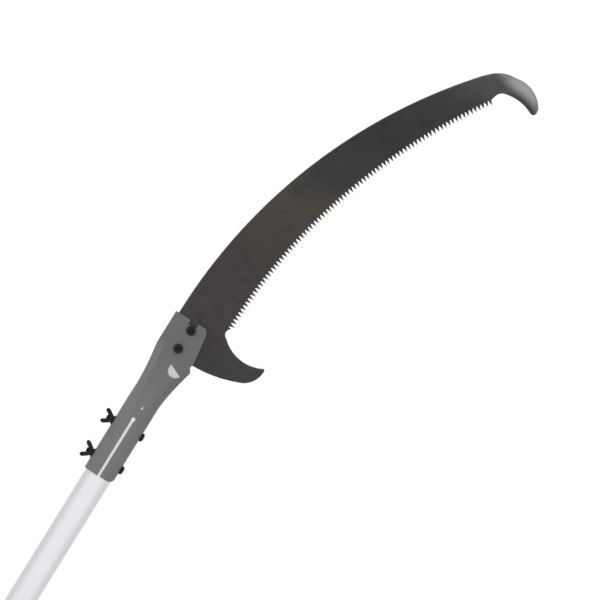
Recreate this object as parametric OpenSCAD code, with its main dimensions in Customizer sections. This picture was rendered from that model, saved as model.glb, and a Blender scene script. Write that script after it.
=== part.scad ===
// Telescoping pole saw: a hooked pruning blade in a flattened steel socket,
// bolted to the top of a three-section aluminium pole with cam-lever clamps.
// +Z runs up the pole, the teeth and hooks face +X, the slit side of the socket faces -Y.
// The origin is the centre of the butt cap's foot. All sizes in millimetres.

/* [Pole] */
// Outer diameter of the inner (thinnest) tube
inner_od = 28; // [23:0.1:34]
// Wall of all three tubes
tube_wall = 1.5; // [1.2:0.05:1.8]
// Radial gap between nested tubes
nest_gap = 0.5; // [0.4:0.05:0.7]
// Length of the outer tube
outer_len = 780; // [640:10:1200]
// Length of the middle tube
middle_len = 800; // [660:10:1200]
// Length of the inner tube
inner_len = 780; // [600:10:1200]
// Bare length of inner tube between the upper clamp and the socket at rest
inner_show = 175; // [140:5:260]
// Gap between the two clamps when the middle tube is pushed home
clamp_space = 12; // [6:1:40]
// Depth of the anti-turn groove rolled along the back of each tube
groove_depth = 1.5; // [1:0.1:1.8]
// Radius of the groove in the inner tube
groove_r = 6.5; // [6:0.1:8]

/* [Grip and butt cap] */
// Length of the rubber grip
grip_len = 240; // [180:10:320]
// Height of the grip's lower end above the foot
grip_z = 60; // [48:1:120]
// Thickness of the grip's rubber
grip_t = 4; // [3:0.2:6]
// Height of the solid foot of the butt cap
cap_foot_h = 20; // [17:0.5:30]
// Height of the cap's skirt around the tube
cap_skirt_h = 22; // [15:1:26]
// Wall of the cap's skirt
cap_wall = 2.5; // [2:0.1:4]
// Diameter of the hang hole through the foot
hang_hole_d = 8; // [6:0.5:9.6]

/* [Lever clamps] */
// Height of the collar's sleeve around the tube it is riveted to
sleeve_h = 34; // [28:1:44]
// Wall of the sleeve
sleeve_wall = 3; // [2.4:0.1:4]
// Height of the split ring that grips the sliding tube
ring_h = 22; // [18:0.5:28]
// Wall of the split ring
ring_wall = 4; // [3.2:0.1:4.8]
// Running clearance of the ring on the sliding tube, radial
ring_fit = 0.08; // [0.05:0.01:0.1]
// Thickness of one clamping ear
ear_t = 5; // [4:0.1:6]
// Reach of the ears past the ring
ear_reach = 13; // [11.5:0.1:16]
// Gap between the two ears
ear_gap = 3; // [2.4:0.1:4]
// Diameter of the barrel pin that the lever turns on
barrel_d = 8; // [7.2:0.1:8.4]
// Radius of the cam round the barrel pin
cam_r = 6.8; // [6.4:0.1:8]
// Offset of the cam's centre from the barrel pin
cam_lift = 1; // [0.6:0.05:1.3]
// Height of the lever
lever_h = 15; // [12.6:0.2:18]
// Thickness of the lever's handle
lever_t = 4.5; // [3.6:0.1:5.4]
// Angle that the handle wraps round the collar
lever_wrap = 118; // [98:1:142]

/* [Saw blade] */
// Thickness of the blade
blade_t = 1.6; // [1.2:0.1:2.2]
// Width of the blade at the heel
blade_w = 52; // [43:0.5:63]
// Radius of the convex spine
spine_r = 553; // [460:1:665]
// Radius of the concave tooth line
tooth_r = 598; // [498:1:718]
// Length of the tooth line along its arc
toothed_len = 352; // [290:1:424]
// Tooth pitch, six teeth to 25.4 mm
tooth_pitch = 4.233; // [3.5:0.001:5.1]
// Depth of a tooth from tip to gullet
tooth_depth = 5.6; // [4.6:0.1:6.6]
// Height above the socket's rim where the spine runs parallel to the pole
spine_s = 181; // [170:0.5:190]
// Height above the socket's rim where the tooth line runs parallel to the pole
heel_s = 188.6; // [184:0.1:196]

/* [Socket] */
// Wall of the steel socket
socket_wall = 2; // [1.6:0.1:2.4]
// Radial clearance between the socket and the inner tube
socket_fit = 0.1; // [0.05:0.01:0.2]
// Length of the round part of the socket
round_len = 88; // [80:1:92]
// Length of the part that is pinched from round to flat
pinch_len = 55; // [46:1:56]
// Length of the flat part that holds the blade
flat_len = 37.5; // [36:0.5:45]
// Depth that the inner tube goes into the socket
insert_len = 86; // [72:1:87]
// Width of the slit along the front of the socket
slit_w = 3.2; // [2:0.1:4]
// Length of the slit
slit_len = 66; // [60:1:70]
// Sideways place of the slit
slit_x = 0.8; // [-1:0.1:1.5]
// Heights of the two clamp bolts above the socket's rim
clamp_bolt_s = [16, 54.5];
// Places of the two blade bolts: across the socket, and above its rim
blade_bolt_at = [[1.4, 149.5], [2.9, 171.3]];

/* [Fasteners] */
// Diameter of the clamp bolts and cross bolts
clamp_bolt_d = 5; // [4.2:0.1:6]
// Thread pitch of the clamp bolts
clamp_pitch = 0.8; // [0.7:0.05:1]
// Diameter of the blade bolts
blade_bolt_d = 6; // [5:0.1:6.4]
// Radial clearance of a bolt in a plain hole
hole_fit = 0.25; // [0.15:0.01:0.4]
// Radial running clearance of a nut on its bolt and of a lever on its pin
run_fit = 0.05; // [0.03:0.01:0.08]
// Gap left between faces that bear on each other
face_gap = 0.05; // [0.03:0.01:0.1]
// Span of a wing nut across its wings
wing_span = 20; // [17:0.5:26]
// Turn of the wing nuts' wings about their bolts, lower then upper
wing_turn = [24, 34];

/* [Hidden] */
$fn = 64;

middle_od = inner_od + 2 * (nest_gap + tube_wall);
outer_od = middle_od + 2 * (nest_gap + tube_wall);
// All three grooves are concentric arcs about this point
groove_y = inner_od / 2 + groove_r - groove_depth;
groove_step = tube_wall + 0.4;

bush_h = 18;
bush_fit = 0.08;
bush_flange = 8;
shoulder_h = 3;
relief_h = 2;

cap_r = outer_od / 2 + cap_wall;
outer_z0 = cap_foot_h + face_gap;
outer_z1 = outer_z0 + outer_len;
lower_ring_z0 = outer_z1 + shoulder_h;
lower_top = lower_ring_z0 + relief_h + ring_h;
upper_sleeve_z0 = lower_top + clamp_space;
middle_z1 = upper_sleeve_z0 + sleeve_h - face_gap;
middle_z0 = middle_z1 - middle_len;
upper_top = middle_z1 + shoulder_h + relief_h + ring_h;
rim_z = upper_top + inner_show;
inner_z1 = rim_z + insert_len;
inner_z0 = inner_z1 - inner_len;

washer_t = 1;
saddle_t = 1.6;
clamp_bolt_r = clamp_bolt_d / 2;
blade_bolt_r = blade_bolt_d / 2;
pan_r = 0.9 * clamp_bolt_d;
pan_h = 0.66 * clamp_bolt_d;
button_h = 3.3;
blade_washer_t = 1.6;
blade_nut_h = 5;
wing_boss_h = 4;
travel = 2 * clamp_pitch;

socket_r = inner_od / 2 + socket_fit + socket_wall;
blade_gap = 0.1;
flat_b = blade_t / 2 + blade_gap + socket_wall;
fold_shift = 3.4;
// Mid-wall girth of the socket stays the same from round to flat
girth = 2 * PI * (socket_r - socket_wall / 2);

// Half thickness, half width and centre of the socket's section, u = 0 round, u = 1 flat
function sec_b(u) = socket_r + (flat_b - socket_r) * pow(u, 1.7);
function sec_a(u) = let (bm = sec_b(u) - socket_wall / 2) (girth - 2 * PI * bm) / 4 + bm + socket_wall / 2;
function sec_c(u) = fold_shift * u;
flat_left = sec_c(1) - sec_a(1);
flat_right = sec_c(1) + sec_a(1);
flat_s = round_len + pinch_len;
socket_top = flat_s + flat_len;

// Blade outline, x across and s above the socket's rim
spine_x = flat_left + socket_wall + 1.2;
heel_x = spine_x + blade_w;
spine_c = [spine_x + spine_r, spine_s];
tooth_c = [heel_x + tooth_r, heel_s];
first_tooth_a = 5.97 / tooth_r * 180 / PI;
tooth_root = 2;
tooth_tip = tooth_root - tooth_depth;
teeth = floor(toothed_len / tooth_pitch);
pitch_a = tooth_pitch / tooth_r * 180 / PI;
last_tooth_a = first_tooth_a + teeth * pitch_a;
// The hook's frame starts one pitch before the last tooth ends
tip_a = last_tooth_a - pitch_a;
tip_o = tooth_c + tooth_r * [-cos(tip_a), sin(tip_a)];
spine_end_a = asin((tip_o[1] - spine_s + 21) / spine_r);

function arc(c, r, a0, a1, n) = [for (i = [0:n]) let (a = a0 + (a1 - a0) * i / n) c + r * [cos(a), sin(a)]];
// A point given in the tip's own frame: across the tooth line, then along it
function at_tip(p) = tip_o + [
    p[0] * cos(tip_a) + p[1] * sin(tip_a),
    p[1] * cos(tip_a) - p[0] * sin(tip_a)];
function tip_arc(c, r, a0, a1, n) = [for (p = arc(c, r, a0, a1, n)) at_tip(p)];
function heel_arc(c, r, a0, a1, n) = arc([heel_x, heel_s] + c, r, a0, a1, n);
function tooth_pt(a, d) = tooth_c + (tooth_r + d) * [-cos(a), sin(a)];

tang_s = 142.2;
spine_pts = arc(spine_c, spine_r, 180, 180 - spine_end_a, 48);
tip_pts = concat(
    tip_arc([10.4, 5.4], 37.2, 165, 136, 6),
    tip_arc([12.4, 14.2], 31.6, 135, 63, 12),
    tip_arc([26, 37.2], 3.8, 58, -58, 7),
    tip_arc([32.4, -11], 44.9, 104, 138, 8),
    tip_arc([6.3, 11.9], 10.3, 138, 206, 7));
tooth_pts = [for (i = [teeth - 1:-1:0]) let (a = first_tooth_a + i * pitch_a) each [
    tooth_pt(a + pitch_a, tooth_root),
    tooth_pt(a + 0.5 * pitch_a, tooth_tip),
    tooth_pt(a + 0.1 * pitch_a, tooth_root)]];
hook_pts = concat(
    heel_arc([3.9, 0], 5.6, 118, 242, 8),
    heel_arc([30, 24.2], 40.8, 226, 299, 12),
    heel_arc([49.6, -13.8], 2, 62, -8, 4),
    heel_arc([28.1, -14.3], 23.3, -8, -70, 9),
    heel_arc([-15.3, 87], 133.4, -70, -90, 6));
tang_pts = [[spine_x + 10, tang_s], [spine_x + 2.6, tang_s + 7], [spine_x, tang_s + 15]];

// ---- Tubes ----

// Round outline of radius r with the anti-turn groove of radius g at the back
module grooved(r, g) {
    difference() {
        circle(r, $fn = 96);
        translate([0, groove_y]) circle(g);
    }
}

// Tube of outer radius r whose outer groove has radius g
module pole_tube(r, g, len) {
    linear_extrude(len) difference() {
        grooved(r, g);
        grooved(r - tube_wall, g + tube_wall);
    }
}

module inner_tube() {
    color("#e6e6ea") difference() {
        translate([0, 0, inner_z0]) pole_tube(inner_od / 2, groove_r, inner_len);
        for (s = clamp_bolt_s)
            translate([0, 0, rim_z + s]) rotate([0, 90, 0])
                cylinder(r = clamp_bolt_r + hole_fit, h = 2 * inner_od, center = true);
    }
}

module middle_tube() {
    color("#dcdce0") difference() {
        translate([0, 0, middle_z0]) pole_tube(middle_od / 2, groove_r - groove_step, middle_len);
        rivet_cuts(middle_z1);
    }
}

module outer_tube() {
    color("#d2d2d6") difference() {
        translate([0, 0, outer_z0]) pole_tube(outer_od / 2, groove_r - 2 * groove_step, outer_len);
        rivet_cuts(outer_z1);
    }
}

// Flanged bush in the lower end of a tube of outer radius r and groove radius g;
// its flange runs inside the next tube down
module guide_bush(r, g, z) {
    bore = r - tube_wall - 3;
    translate([0, 0, z - bush_flange]) difference() {
        union() {
            linear_extrude(bush_flange - face_gap)
                grooved(r + nest_gap - bush_fit, g - groove_step + tube_wall + bush_fit);
            linear_extrude(bush_flange + bush_h)
                grooved(r - tube_wall - face_gap, g + tube_wall + face_gap);
        }
        translate([0, 0, -1]) cylinder(r = bore, h = bush_flange + bush_h + 2);
    }
}

module inner_guide_bush() {
    color("#30302e") guide_bush(inner_od / 2, groove_r, inner_z0);
}

module middle_guide_bush() {
    color("#30302e") guide_bush(middle_od / 2, groove_r - groove_step, middle_z0);
}

module hand_grip() {
    rb = outer_od / 2 + face_gap;
    rg = outer_od / 2 + grip_t;
    edge = 1;
    band_h = 8;
    band_t = 1.2;
    ring_n = 4;
    ring_step = 7;
    ring_r = 1.3;
    // plain from its lower end up, so that a sleeve or clip goes on from the butt, with a raised band on top
    color("#1d1d1e") translate([0, 0, grip_z]) rotate_extrude($fn = 96) difference() {
        polygon([
            [rb, 0], [rg - edge, 0], [rg, edge], [rg, grip_len - band_h],
            [rg + band_t, grip_len - band_h], [rg + band_t, grip_len - edge],
            [rg + band_t - edge, grip_len], [rb, grip_len]]);
        for (i = [1:ring_n], side = [0, 1])
            translate([rg, side * grip_len + (1 - 2 * side) * (band_h + i * ring_step)])
                circle(ring_r, $fn = 24);
    }
}

module butt_cap() {
    edge = 4;
    color("#1d1d1e") difference() {
        rotate_extrude($fn = 96) {
            difference() {
                union() {
                    square([cap_r - edge, cap_foot_h + cap_skirt_h]);
                    translate([0, edge]) square([cap_r, cap_foot_h + cap_skirt_h - edge]);
                    translate([cap_r - edge, edge]) circle(edge);
                }
                translate([-edge, 0]) square([edge, cap_foot_h + cap_skirt_h]);
            }
        }
        translate([0, 0, cap_foot_h]) cylinder(r = outer_od / 2 + face_gap, h = cap_skirt_h + 1, $fn = 96);
        for (side = [-1, 1])
            translate([0, side * (cap_r + 5 - edge), cap_foot_h / 2 - 2])
                cube([2 * cap_r + 2, 10, cap_foot_h - 2], center = true);
        translate([0, 0, cap_foot_h / 2]) rotate([90, 0, 0])
            cylinder(d = hang_hole_d, h = 3 * cap_r, center = true);
    }
}

// ---- Lever clamps ----
// The ears point to +X, the cross bolt lies along Y with the lever at its -Y end.
// rt = radius of the tube that carries the collar, rs = radius of the tube that slides in it,
// z = top end of the carrying tube.

rivet_d = 3.2;
function ring_or(rs) = rs + ring_wall;
function bolt_x(rs) = ring_or(rs) + ear_reach / 2;
function ring_z(z) = z + shoulder_h + relief_h;
function bolt_z(z) = ring_z(z) + ring_h / 2;
ear_y = ear_gap / 2 + ear_t;
saddle_y = ear_y + face_gap + saddle_t;
pin_y = saddle_y + run_fit + cam_lift + cam_r;
// depth that the cross bolt goes into the barrel pin
barrel_bite = 1.5;
thumb_h = 8;
saddle_w = 11;
saddle_lip = 1;
// The saddle's hollow is wider than the cam, which moves sideways by its offset as the lever swings
hollow_r = cam_r + 2.5 * cam_lift;

module rivet_cuts(z) {
    for (side = [-1, 1])
        translate([0, 0, z - sleeve_h / 2]) rotate([0, side * 90, 0])
            cylinder(d = rivet_d + 0.2, h = 2 * outer_od);
}

module collar(rt, rs, z) {
    rsleeve = rt + sleeve_wall;
    ear_h = ring_h - 4;
    difference() {
        union() {
            translate([0, 0, z - sleeve_h]) cylinder(r = rsleeve, h = sleeve_h + shoulder_h, $fn = 96);
            translate([0, 0, z + shoulder_h - 0.5]) cylinder(r = ring_or(rs), h = relief_h + ring_h + 0.5, $fn = 96);
            translate([0, -ear_y, bolt_z(z) - ear_h / 2])
                cube([ring_or(rs) + ear_reach - ear_h / 2, 2 * ear_y, ear_h]);
            translate([ring_or(rs) + ear_reach - ear_h / 2, 0, bolt_z(z)]) rotate([90, 0, 0])
                cylinder(r = ear_h / 2, h = 2 * ear_y, center = true);
        }
        translate([0, 0, z - sleeve_h - 1]) cylinder(r = rt + face_gap, h = sleeve_h + 1 + face_gap, $fn = 96);
        translate([0, 0, z - 1]) cylinder(r = rs + ring_fit, h = shoulder_h + relief_h + ring_h + 2, $fn = 96);
        // split through the ring, between the ears
        translate([0, -ear_gap / 2, z + shoulder_h])
            cube([3 * rt, ear_gap, relief_h + ring_h + 1]);
        // relief slot that frees the ring from the sleeve, all but a strip at the spine side
        translate([-rs / 2, -2 * rt, z + shoulder_h]) cube([4 * rt, 4 * rt, relief_h]);
        translate([bolt_x(rs), 0, bolt_z(z)]) rotate([90, 0, 0])
            cylinder(r = clamp_bolt_r + hole_fit, h = 4 * ear_y, center = true);
        rivet_cuts(z);
    }
}

module collar_rivets(rt, z) {
    head_r = rt + sleeve_wall + face_gap;
    for (side = [-1, 1])
        translate([0, 0, z - sleeve_h / 2]) rotate([0, side * 90, 0]) {
            translate([0, 0, rt - tube_wall + 0.1]) cylinder(d = rivet_d, h = sleeve_wall + tube_wall);
            intersection() {
                translate([0, 0, head_r]) cylinder(d = 6.5, h = 1.3);
                translate([0, 0, head_r + 1.3 - 5]) sphere(5);
            }
        }
}

module cross_bolt(rs, z) {
    nut_end = ear_y + 2 * face_gap + washer_t + thumb_h + 0.95 + travel;
    bolt_start = -pin_y + barrel_d / 2 - barrel_bite;
    translate([bolt_x(rs), 0, bolt_z(z)]) rotate([-90, 0, 0])
        translate([0, 0, bolt_start]) cylinder(r = clamp_bolt_r, h = nut_end - bolt_start);
}

module barrel_pin(rs, z) {
    translate([bolt_x(rs), -pin_y, bolt_z(z)]) difference() {
        cylinder(d = barrel_d, h = lever_h - 1, center = true);
        rotate([-90, 0, 0]) cylinder(r = clamp_bolt_r + face_gap, h = barrel_d);
        translate([0, barrel_d / 2 - barrel_bite - face_gap, 0]) rotate([-90, 0, 0])
            cylinder(r = clamp_bolt_r + face_gap, h = barrel_d);
    }
}

// Saddle washer with a hollow face for the cam
module cam_saddle(rs, z) {
    translate([bolt_x(rs), 0, bolt_z(z)]) difference() {
        translate([-saddle_w / 2, -saddle_y - saddle_lip, -lever_h / 2]) cube([saddle_w, saddle_t + saddle_lip, lever_h]);
        translate([0, -saddle_y - hollow_r, 0]) cylinder(r = hollow_r, h = 2 * lever_h, center = true);
        rotate([90, 0, 0]) cylinder(r = clamp_bolt_r + hole_fit, h = 3 * pin_y);
    }
}

module cam_lever(rs, z) {
    px = bolt_x(rs);
    in_r = max(ring_or(rs) + 2.5, rs + nest_gap + tube_wall + sleeve_wall + 1.5);
    reach = sqrt(px * px + pin_y * pin_y);
    a0 = -atan(pin_y / px);
    end_a = a0 - lever_wrap;
    slot_h = clamp_bolt_d + 1;
    translate([0, 0, bolt_z(z) - lever_h / 2]) difference() {
        linear_extrude(lever_h) difference() {
            union() {
                translate([px, -pin_y + cam_lift]) circle(cam_r);
                // curved handle, with a thicker rounded thumb end
                intersection() {
                    difference() {
                        circle(in_r + lever_t, $fn = 96);
                        circle(in_r, $fn = 96);
                    }
                    polygon(concat([[0, 0]], arc([0, 0], 2 * in_r, a0, end_a, 6)));
                }
                rotate(end_a) translate([in_r + lever_t / 2 + 1, 0]) circle(lever_t / 2 + 0.6);
                // web from the cam to the handle
                rotate(a0) translate([in_r + 1, -5]) square([reach - in_r - 1, 7.5]);
            }
            translate([px, -pin_y]) circle(barrel_d / 2 + run_fit);
        }
        // slot for the cross bolt, open over the whole swing of the lever
        translate([px - slot_h / 2, -pin_y - slot_h, lever_h / 2 - slot_h / 2])
            cube([4 * cam_r, 5 * cam_r, slot_h]);
    }
}

module nut_washer(rs, z) {
    translate([bolt_x(rs), ear_y + face_gap, bolt_z(z)]) rotate([-90, 0, 0]) difference() {
        cylinder(d = 2.2 * clamp_bolt_d, h = washer_t);
        translate([0, 0, -1]) cylinder(r = clamp_bolt_r + run_fit, h = washer_t + 2);
    }
}

module thumb_nut(rs, z) {
    lobes = 8;
    lobe_r = 2.2;
    head_r = 8;
    neck_r = 5;
    neck_h = 1.5;
    translate([bolt_x(rs), ear_y + 2 * face_gap + washer_t, bolt_z(z)]) rotate([-90, 0, 0]) difference() {
        union() {
            cylinder(r = neck_r, h = thumb_h);
            translate([0, 0, neck_h]) linear_extrude(thumb_h - neck_h) difference() {
                circle(head_r);
                for (i = [0:lobes - 1]) rotate(i * 360 / lobes) translate([head_r + 1, 0]) circle(lobe_r, $fn = 24);
            }
        }
        translate([0, 0, -1]) cylinder(r = clamp_bolt_r + run_fit, h = thumb_h + 2);
    }
}

module lower_collar() { color("#26282a") collar(outer_od / 2, middle_od / 2, outer_z1); }
module lower_collar_rivets() { color("#b8b8bc") collar_rivets(outer_od / 2, outer_z1); }
module lower_cross_bolt() { color("#8c8c90") cross_bolt(middle_od / 2, outer_z1); }
module lower_barrel_pin() { color("#8c8c90") barrel_pin(middle_od / 2, outer_z1); }
module lower_cam_saddle() { color("#3c3e40") cam_saddle(middle_od / 2, outer_z1); }
module lower_cam_lever() { color("#2c2e30") cam_lever(middle_od / 2, outer_z1); }
module lower_nut_washer() { color("#9c9ca0") nut_washer(middle_od / 2, outer_z1); }
module lower_thumb_nut() { color("#2c2e30") thumb_nut(middle_od / 2, outer_z1); }

module upper_collar() { color("#26282a") collar(middle_od / 2, inner_od / 2, middle_z1); }
module upper_collar_rivets() { color("#b8b8bc") collar_rivets(middle_od / 2, middle_z1); }
module upper_cross_bolt() { color("#8c8c90") cross_bolt(inner_od / 2, middle_z1); }
module upper_barrel_pin() { color("#8c8c90") barrel_pin(inner_od / 2, middle_z1); }
module upper_cam_saddle() { color("#3c3e40") cam_saddle(inner_od / 2, middle_z1); }
module upper_cam_lever() { color("#2c2e30") cam_lever(inner_od / 2, middle_z1); }
module upper_nut_washer() { color("#9c9ca0") nut_washer(inner_od / 2, middle_z1); }
module upper_thumb_nut() { color("#2c2e30") thumb_nut(inner_od / 2, middle_z1); }

// ---- Saw head ----

module blade_holes() {
    for (p = blade_bolt_at)
        translate([p[0], 0, p[1]]) rotate([90, 0, 0])
            cylinder(r = blade_bolt_r + hole_fit / 2, h = 40, center = true);
}

module saw_blade() {
    color("#4a4846") translate([0, 0, rim_z]) difference() {
        rotate([90, 0, 0]) translate([0, 0, -blade_t / 2]) linear_extrude(blade_t)
            polygon(concat(tang_pts, spine_pts, tip_pts, tooth_pts, hook_pts));
        blade_holes();
    }
}

// The socket's wall, swept from its round foot through sections of constant girth to the flat top
module socket_wall_shape() {
    n = 48;
    steps = 11;
    us = [for (i = [0:steps]) i / steps];
    rings = concat([[0, 0]], [for (u = us) [round_len + u * pinch_len, u]], [[socket_top, 1]]);
    m = len(rings);
    function sec(u, inset, i) = let (a = (i + 0.5) * 360 / n, b = sec_b(u) - inset)
        [sec_c(u) + (sec_a(u) - sec_b(u)) * sign(cos(a)) + b * cos(a), b * sin(a)];
    pts = [for (inset = [0, socket_wall], r = rings, i = [0:n - 1])
        let (p = sec(r[1], inset, i)) [p[0], p[1], r[0]]];
    function id(w, j, i) = (w * m + j) * n + (i + n) % n;
    sides = [for (w = [0, 1], j = [0:m - 2], i = [0:n - 1], k = [0, 1])
        let (f = k == 0 ? [id(w, j, i), id(w, j + 1, i), id(w, j + 1, i + 1)]
                        : [id(w, j, i), id(w, j + 1, i + 1), id(w, j, i + 1)])
        w == 0 ? f : [f[2], f[1], f[0]]];
    ends = [for (j = [0, m - 1], i = [0:n - 1], k = [0, 1])
        let (f = k == 0 ? [id(0, j, i), id(0, j, i + 1), id(1, j, i + 1)]
                        : [id(0, j, i), id(1, j, i + 1), id(1, j, i)])
        j == 0 ? f : [f[2], f[1], f[0]]];
    polyhedron(points = pts, faces = concat(sides, ends), convexity = 4);
}

module head_socket() {
    cut_low = flat_right - 4.6;
    cut_high = flat_right - 8.4;
    notch_w = 9;
    notch_d = 5;
    corner = 5;
    slit_hole_r = 2.5;
    small_hole = [3.2, slit_len + 14.2];
    small_hole_r = 1.5;
    color("#6f6f6c") translate([0, 0, rim_z]) difference() {
        socket_wall_shape();
        // slit along the front, ending in a round hole, with a small hole above it
        translate([slit_x - slit_w / 2, -2 * socket_r, -1]) cube([slit_w, 2 * socket_r, slit_len + 1]);
        translate([slit_x, 0, slit_len]) rotate([90, 0, 0]) cylinder(r = slit_hole_r, h = 2 * socket_r);
        translate([small_hole[0], 0, small_hole[1]]) rotate([90, 0, 0])
            cylinder(r = small_hole_r, h = 2 * socket_r, $fn = 24);
        for (s = clamp_bolt_s)
            translate([0, 0, s]) rotate([0, 90, 0])
                cylinder(r = clamp_bolt_r + hole_fit, h = 4 * socket_r, center = true);
        blade_holes();
        // the teeth side of the flat is trimmed open for the blade and its hook
        rotate([90, 0, 0]) translate([0, 0, -25]) linear_extrude(50) polygon([
            [flat_right + 9, flat_s - 14],
            [flat_right - 2.4, flat_s - 9],
            [flat_right - 5.6, flat_s - 3],
            [cut_low, flat_s + 2],
            [cut_high, socket_top - 4],
            [cut_high - 2.4, socket_top + 1],
            [flat_right + 9, socket_top + 1]]);
        // notch in the top edge, next to the upper blade bolt
        translate([1.4 - notch_w / 2, -socket_r, socket_top - notch_d])
            cube([notch_w, 2 * socket_r, notch_d + 1]);
        // rounded corner of the rim on the teeth side
        translate([socket_r - corner, 0, corner]) rotate([90, 0, 0]) difference() {
            translate([0, -corner - 1, -socket_r - 1]) cube([corner + 1, corner + 1, 2 * socket_r + 2]);
            cylinder(r = corner, h = 3 * socket_r, center = true);
        }
    }
}

module at_blade_bolts() {
    for (p = blade_bolt_at) translate([p[0], 0, rim_z + p[1]]) rotate([-90, 0, 0]) children();
}

module blade_bolts() {
    head_z = -flat_b - face_gap - button_h;
    dome_r = 1.1 * blade_bolt_d;
    key_across = 4.6;
    key_h = 1.9;
    tail = 1.5;
    shank_end = flat_b + 2 * face_gap + blade_washer_t + blade_nut_h + tail;
    color("#191919") at_blade_bolts() {
        difference() {
            intersection() {
                translate([0, 0, head_z]) cylinder(r = 0.8 * blade_bolt_d, h = button_h);
                translate([0, 0, head_z + dome_r - 0.6]) sphere(dome_r);
            }
            translate([0, 0, head_z - 1]) cylinder(d = key_across, h = key_h + 1, $fn = 6);
        }
        translate([0, 0, head_z + button_h - 1]) cylinder(r = blade_bolt_r, h = shank_end - head_z - button_h + 1);
    }
}

module blade_washers() {
    color("#232323") at_blade_bolts() translate([0, 0, flat_b + face_gap]) difference() {
        cylinder(d = 2 * blade_bolt_d, h = blade_washer_t);
        translate([0, 0, -1]) cylinder(r = blade_bolt_r + 0.1, h = blade_washer_t + 2);
    }
}

module blade_nuts() {
    nut_flats = 10;
    color("#191919") at_blade_bolts() translate([0, 0, flat_b + 2 * face_gap + blade_washer_t]) difference() {
        cylinder(d = nut_flats / cos(30), h = blade_nut_h, $fn = 6);
        translate([0, 0, -1]) cylinder(r = blade_bolt_r + run_fit, h = blade_nut_h + 2);
    }
}

// Clamp bolt across the socket with its pan head at +X and its thread end at -X
module clamp_bolt(s) {
    head_x = socket_r + face_gap;
    nut_end = socket_r + 2 * face_gap + washer_t + wing_boss_h + 1 + travel;
    dome_r = 1.6 * clamp_bolt_d;
    color("#191919") translate([0, 0, rim_z + s]) rotate([0, 90, 0]) {
        translate([0, 0, -nut_end]) cylinder(r = clamp_bolt_r, h = nut_end + head_x + 1);
        intersection() {
            translate([0, 0, head_x]) cylinder(r = pan_r, h = pan_h);
            translate([0, 0, head_x + pan_h - dome_r]) sphere(dome_r);
        }
    }
}

module wing_washer(s) {
    color("#232323") translate([-socket_r - face_gap, 0, rim_z + s]) rotate([0, -90, 0]) difference() {
        cylinder(d = 2 * clamp_bolt_d, h = washer_t);
        translate([0, 0, -1]) cylinder(r = clamp_bolt_r + run_fit, h = washer_t + 2);
    }
}

module wing_nut(s, turn) {
    wing_r = 2.3;
    wing_t = 2.6;
    tip_x = wing_span / 2 - wing_r;
    root_x = 2.6;
    foot_r = clamp_bolt_r + 1.4;
    lean = 52;
    wing_len = (tip_x - root_x) / cos(lean);
    color("#191919") translate([-socket_r - 2 * face_gap - washer_t, 0, rim_z + s])
        rotate([turn, 0, 0]) rotate([0, -90, 0]) difference() {
            union() {
                cylinder(r = foot_r, h = 1.8);
                cylinder(r = foot_r - 0.5, h = wing_boss_h);
                for (side = [0, 180]) rotate([0, 0, side]) translate([root_x, 0, 1.9]) rotate([90, -lean, 0]) {
                    translate([0, -wing_r, -wing_t / 2]) cube([wing_len, 2 * wing_r, wing_t]);
                    translate([wing_len, 0, 0]) cylinder(r = wing_r, h = wing_t, center = true);
                }
            }
            translate([0, 0, -10]) cylinder(r = clamp_bolt_r + run_fit, h = 30);
            translate([-wing_span, -wing_span, -10]) cube([2 * wing_span, 2 * wing_span, 10]);
        }
}

module clamp_bolt_lower() { clamp_bolt(clamp_bolt_s[0]); }
module clamp_bolt_upper() { clamp_bolt(clamp_bolt_s[1]); }
module wing_washer_lower() { wing_washer(clamp_bolt_s[0]); }
module wing_washer_upper() { wing_washer(clamp_bolt_s[1]); }
module wing_nut_lower() { wing_nut(clamp_bolt_s[0], wing_turn[0]); }
module wing_nut_upper() { wing_nut(clamp_bolt_s[1], wing_turn[1]); }

saw_blade();
head_socket();
blade_bolts();
blade_washers();
blade_nuts();
clamp_bolt_lower();
clamp_bolt_upper();
wing_washer_lower();
wing_washer_upper();
wing_nut_lower();
wing_nut_upper();
inner_tube();
middle_tube();
outer_tube();
inner_guide_bush();
middle_guide_bush();
hand_grip();
butt_cap();
lower_collar();
lower_collar_rivets();
lower_cross_bolt();
lower_barrel_pin();
lower_cam_saddle();
lower_cam_lever();
lower_nut_washer();
lower_thumb_nut();
upper_collar();
upper_collar_rivets();
upper_cross_bolt();
upper_barrel_pin();
upper_cam_saddle();
upper_cam_lever();
upper_nut_washer();
upper_thumb_nut();
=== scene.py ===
import math

import bmesh
import bpy
import numpy as np
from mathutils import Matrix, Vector
from mathutils.geometry import delaunay_2d_cdt


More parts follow.
